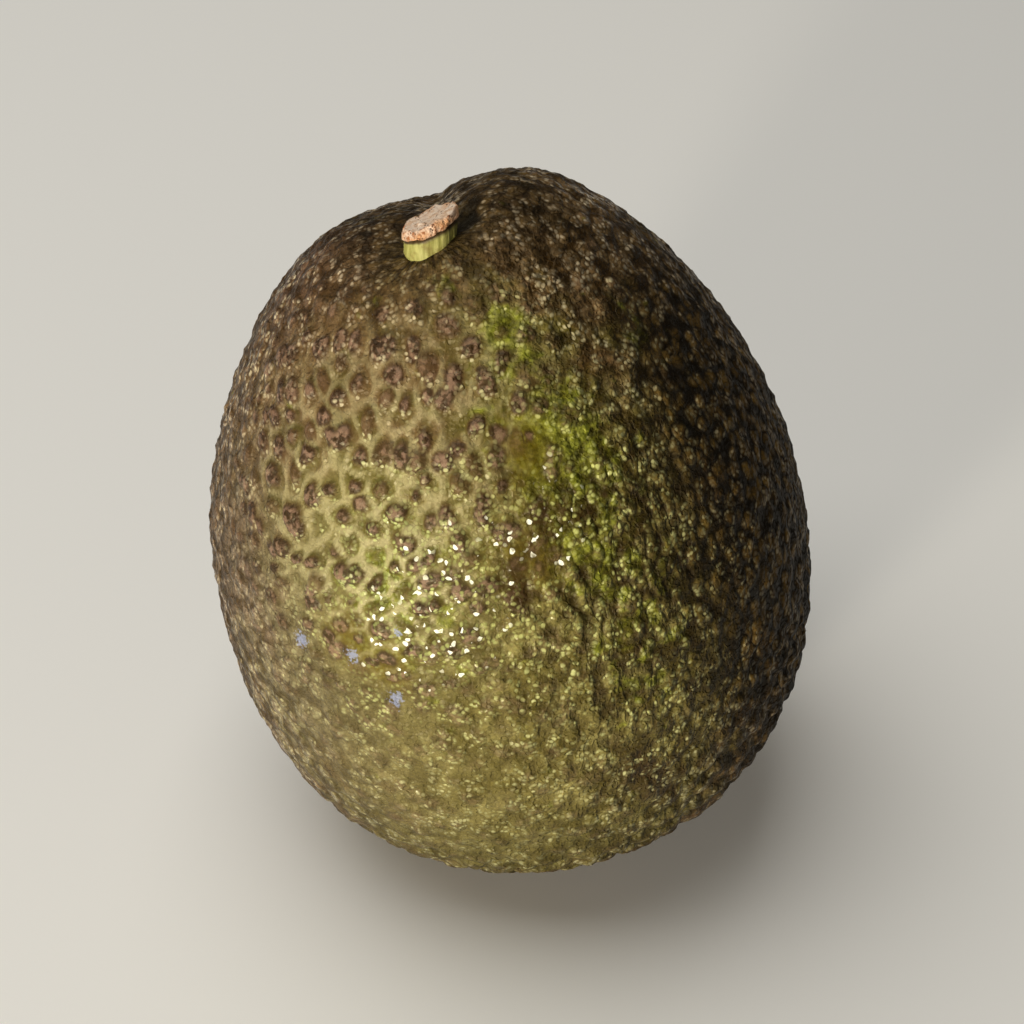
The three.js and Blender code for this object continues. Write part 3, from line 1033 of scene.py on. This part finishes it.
def area_light(name, place_mm, aim_mm, size_mm, watts, colour):
    lamp = bpy.data.lights.new(name, "AREA")
    lamp.size = size_mm * MM
    lamp.energy = watts
    lamp.color = colour
    thing = bpy.data.objects.new(name, lamp)
    bpy.context.scene.collection.objects.link(thing)
    thing.location = Vector(place_mm) * MM
    toward = (Vector(aim_mm) - Vector(place_mm)).normalized()
    thing.rotation_euler = toward.to_track_quat("-Z", "Y").to_euler()


def make_lights(shift):
    """A small low key light from the front left, a large soft one overhead, and a faint even sky."""
    fruit_centre = Vector(shift)
    key_place = fruit_centre + Vector(KEY_FROM_FRUIT)
    area_light("key", key_place, fruit_centre, KEY_SIZE, KEY_WATTS, KEY_COLOUR)
    area_light("overhead", OVERHEAD_PLACE, (0, 0, 0), OVERHEAD_SIZE, OVERHEAD_WATTS, OVERHEAD_COLOUR)
    world = bpy.data.worlds.new("studio")
    bpy.context.scene.world = world
    world.use_nodes = True
    background = world.node_tree.nodes["Background"]
    background.inputs["Color"].default_value = SKY_COLOUR
    background.inputs["Strength"].default_value = SKY_STRENGTH


def make_camera(shift):
    fruit_centre = Vector(shift)
    sine, cosine = math.sin(CAMERA_ELEVATION), math.cos(CAMERA_ELEVATION)
    back = Vector((0, -cosine, sine))
    right_shift = Vector((FRUIT_CENTRE_LEFT_PX, 0, 0)) / PX_PER_MM
    up_shift = Vector((0, sine, cosine)) * FRUIT_CENTRE_UP_PX / PX_PER_MM
    aim = fruit_centre + right_shift - up_shift
    camera = bpy.data.cameras.new("camera")
    camera.sensor_width = SENSOR_WIDTH
    camera.lens = SENSOR_WIDTH * PX_PER_MM * CAMERA_DISTANCE / FRAME_PX
    thing = bpy.data.objects.new("camera", camera)
    bpy.context.scene.collection.objects.link(thing)
    thing.location = (fruit_centre + back * CAMERA_DISTANCE) * MM
    thing.rotation_euler = (aim * MM - thing.location).to_track_quat("-Z", "Y").to_euler()
    bpy.context.scene.camera = thing


# The whole scene

bpy.context.scene.view_settings.view_transform = "Standard"

skin, shift = make_fruit()
stem_place = stem_frame(shift)
skin.data.materials.append(skin_material(stem_place.translation * MM))
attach(skin, "root")
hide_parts("fruit")

stalk = make_stem(stem_place)
stalk.data.materials.append(stalk_material())
cork = make_cork(stem_place)
cork.data.materials.append(cork_material())
for piece in (stalk, cork):
    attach(piece, "root")
    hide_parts("stem_stub")

make_floor()
make_lights(shift)
make_camera(shift)
